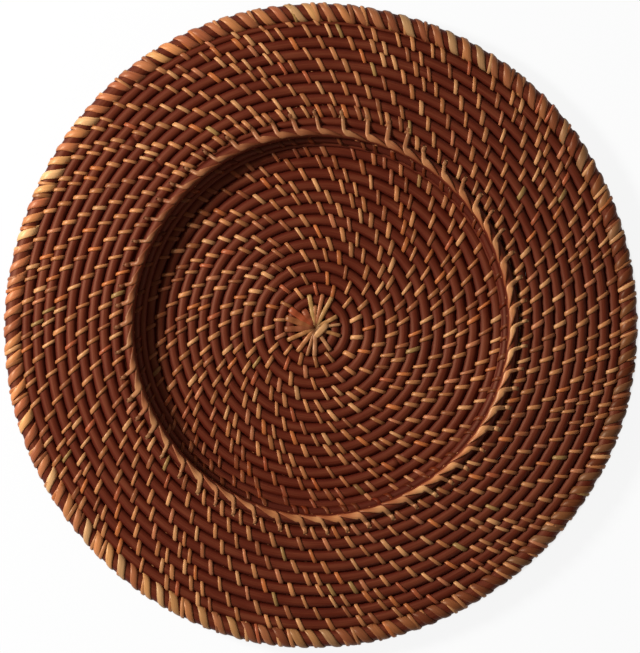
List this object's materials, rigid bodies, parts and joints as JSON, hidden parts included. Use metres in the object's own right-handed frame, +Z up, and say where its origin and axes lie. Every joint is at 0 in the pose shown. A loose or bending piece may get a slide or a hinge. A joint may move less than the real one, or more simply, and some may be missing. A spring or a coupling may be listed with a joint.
{
  "type": "coiled rattan charger plate",
  "caption": "Round charger plate of coiled rattan rod bound with split peel: a sunken well, a raised ridge, a wide falling rim and a lashed border, to set under a dinner plate.",
  "frame": {"origin": "middle of the base, on the surface that the plate stands on", "axes": "+Z up, out of the well; +X to the right and +Y to the top of the picture, which looks straight down"},
  "size_m": [0.3302, 0.3302, 0.0184],
  "materials": {
    "rattan_core": "dark mahogany-brown stain under satin lacquer",
    "rattan_hoop": "mahogany-brown stain under satin lacquer",
    "rattan_peel": "honey-coloured glossy peel",
    "rattan_wrap": "pale honey glossy peel"
  },
  "bodies": {
    "root": {"well_core_inner": "rattan_core", "well_core_outer": "rattan_core", "wall_hoop": "rattan_core", "rim_core_inner": "rattan_core", "rim_core_middle": "rattan_core", "rim_core_outer": "rattan_core", "ridge_hoop": "rattan_hoop", "border_hoop": "rattan_hoop", "star_binding": "rattan_peel", "well_binding_1": "rattan_peel", "well_binding_2": "rattan_peel", "well_binding_3": "rattan_peel", "foot_binding": "rattan_peel", "floor_edge_binding": "rattan_peel", "wall_binding": "rattan_peel", "ridge_binding": "rattan_peel", "rim_seam_binding": "rattan_peel", "rim_binding_1": "rattan_peel", "rim_binding_2": "rattan_peel", "rim_binding_3": "rattan_peel", "rim_binding_4": "rattan_peel", "border_binding": "rattan_peel", "border_wraps": "rattan_wrap"}
  },
  "joints": []
}
